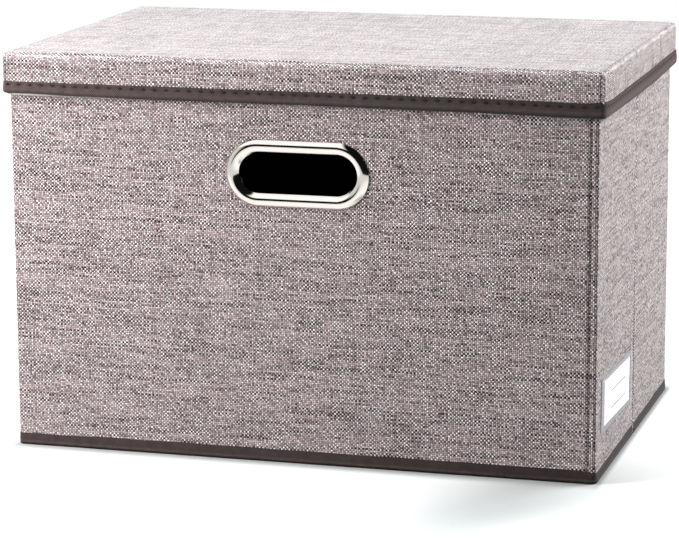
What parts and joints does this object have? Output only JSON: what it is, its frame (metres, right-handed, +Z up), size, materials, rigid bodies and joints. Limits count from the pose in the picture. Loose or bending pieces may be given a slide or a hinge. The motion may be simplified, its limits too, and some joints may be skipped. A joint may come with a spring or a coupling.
{
  "type": "collapsible storage bin",
  "caption": "Rectangular linen-look fabric storage bin with a lift-off lid, oval metal handles, a label pocket, and walls and base that fold flat.",
  "frame": {"origin": "middle of the footprint, on the floor under the bin", "axes": "+X along the length, to the right as seen from the front; the front faces -Y; +Z up"},
  "size_m": [0.4594, 0.3044, 0.304],
  "materials": {
    "linen_cover": "matte",
    "greyboard": "matte",
    "lining_cloth": "matte",
    "binding_tape": "matte",
    "base_cloth": "matte",
    "polished_metal": "polished",
    "backing_metal": "satin",
    "card_paper": "matte",
    "clear_film": "gloss"
  },
  "bodies": {
    "back": {"back_cover": "linen_cover", "back_board": "greyboard", "back_corner_seams": "linen_cover", "back_lining": "lining_cloth", "back_rim_binding": "binding_tape", "back_foot_binding": "binding_tape", "back_handle_ring": "polished_metal", "back_handle_backing": "backing_metal"},
    "front": {"front_cover": "linen_cover", "front_board": "greyboard", "front_corner_seams": "linen_cover", "front_lining": "lining_cloth", "front_rim_binding": "binding_tape", "front_foot_binding": "binding_tape", "front_handle_ring": "polished_metal", "front_handle_backing": "backing_metal"},
    "right_rear": {"right_rear_cover": "linen_cover", "right_rear_board": "greyboard", "right_rear_lining": "lining_cloth", "right_rear_rim_binding": "binding_tape", "right_rear_foot_binding": "binding_tape"},
    "right_front": {"right_front_cover": "linen_cover", "right_front_board": "greyboard", "right_front_lining": "lining_cloth", "right_front_rim_binding": "binding_tape", "right_front_foot_binding": "binding_tape", "label_pocket": "clear_film"},
    "left_rear": {"left_rear_cover": "linen_cover", "left_rear_board": "greyboard", "left_rear_lining": "lining_cloth", "left_rear_rim_binding": "binding_tape", "left_rear_foot_binding": "binding_tape"},
    "left_front": {"left_front_cover": "linen_cover", "left_front_board": "greyboard", "left_front_lining": "lining_cloth", "left_front_rim_binding": "binding_tape", "left_front_foot_binding": "binding_tape"},
    "base_rear": {"base_rear_cloth": "base_cloth", "base_rear_board": "greyboard", "base_rear_lining": "lining_cloth", "base_rear_gussets": "base_cloth"},
    "base_front": {"base_front_cloth": "base_cloth", "base_front_board": "greyboard", "base_front_lining": "lining_cloth", "base_front_gussets": "base_cloth"},
    "lid": {"lid_cover": "linen_cover", "lid_top_board": "greyboard", "lid_skirt_boards": "greyboard", "lid_lining": "lining_cloth", "lid_binding": "binding_tape"},
    "label_card": {"label_card": "card_paper"}
  },
  "joints": [
    {"name": "wall_fold", "type": "hinge", "parent": "back", "child": "right_rear", "pos_m": [0.2218, 0.1399, 0.15], "axis": [0, 0, -1], "range_deg": [0, 90]},
    {"name": "right_middle_fold", "type": "hinge", "parent": "right_rear", "child": "right_front", "pos_m": [0.2263, 0, 0.15], "axis": [0, 0, 1], "range_deg": [0, 180]},
    {"name": "right_front_corner_fold", "type": "hinge", "parent": "right_front", "child": "front", "pos_m": [0.2218, -0.1399, 0.15], "axis": [0, 0, -1], "range_deg": [0, 90]},
    {"name": "left_rear_corner_fold", "type": "hinge", "parent": "back", "child": "left_rear", "pos_m": [-0.2218, 0.1399, 0.15], "axis": [0, 0, 1], "range_deg": [0, 90]},
    {"name": "left_middle_fold", "type": "hinge", "parent": "left_rear", "child": "left_front", "pos_m": [-0.2263, 0, 0.15], "axis": [0, 0, -1], "range_deg": [0, 180]},
    {"name": "base_rear_fold", "type": "hinge", "parent": "back", "child": "base_rear", "pos_m": [0, 0.141, 0], "axis": [-1, 0, 0], "range_deg": [0, 90], "deforming": ["base_rear_gussets"]},
    {"name": "base_front_fold", "type": "hinge", "parent": "front", "child": "base_front", "pos_m": [0, -0.141, 0], "axis": [1, 0, 0], "range_deg": [0, 90], "deforming": ["base_front_gussets"]},
    {"name": "lid_lift", "type": "slide", "parent": "back", "child": "lid", "axis": [0, 0, 1], "range_m": [0, 0.2]},
    {"name": "label_card_slide", "type": "slide", "parent": "right_front", "child": "label_card", "axis": [0, 0, 1], "range_m": [0, 0.045]}
  ],
  "couplings": [
    {"joint": "right_middle_fold", "follows": "wall_fold", "ratio": 2},
    {"joint": "right_front_corner_fold", "follows": "wall_fold", "ratio": 1},
    {"joint": "left_rear_corner_fold", "follows": "wall_fold", "ratio": 1},
    {"joint": "left_middle_fold", "follows": "wall_fold", "ratio": 2},
    {"joint": "base_rear_fold", "follows": "wall_fold", "ratio": 1},
    {"joint": "base_front_fold", "follows": "wall_fold", "ratio": 1}
  ]
}
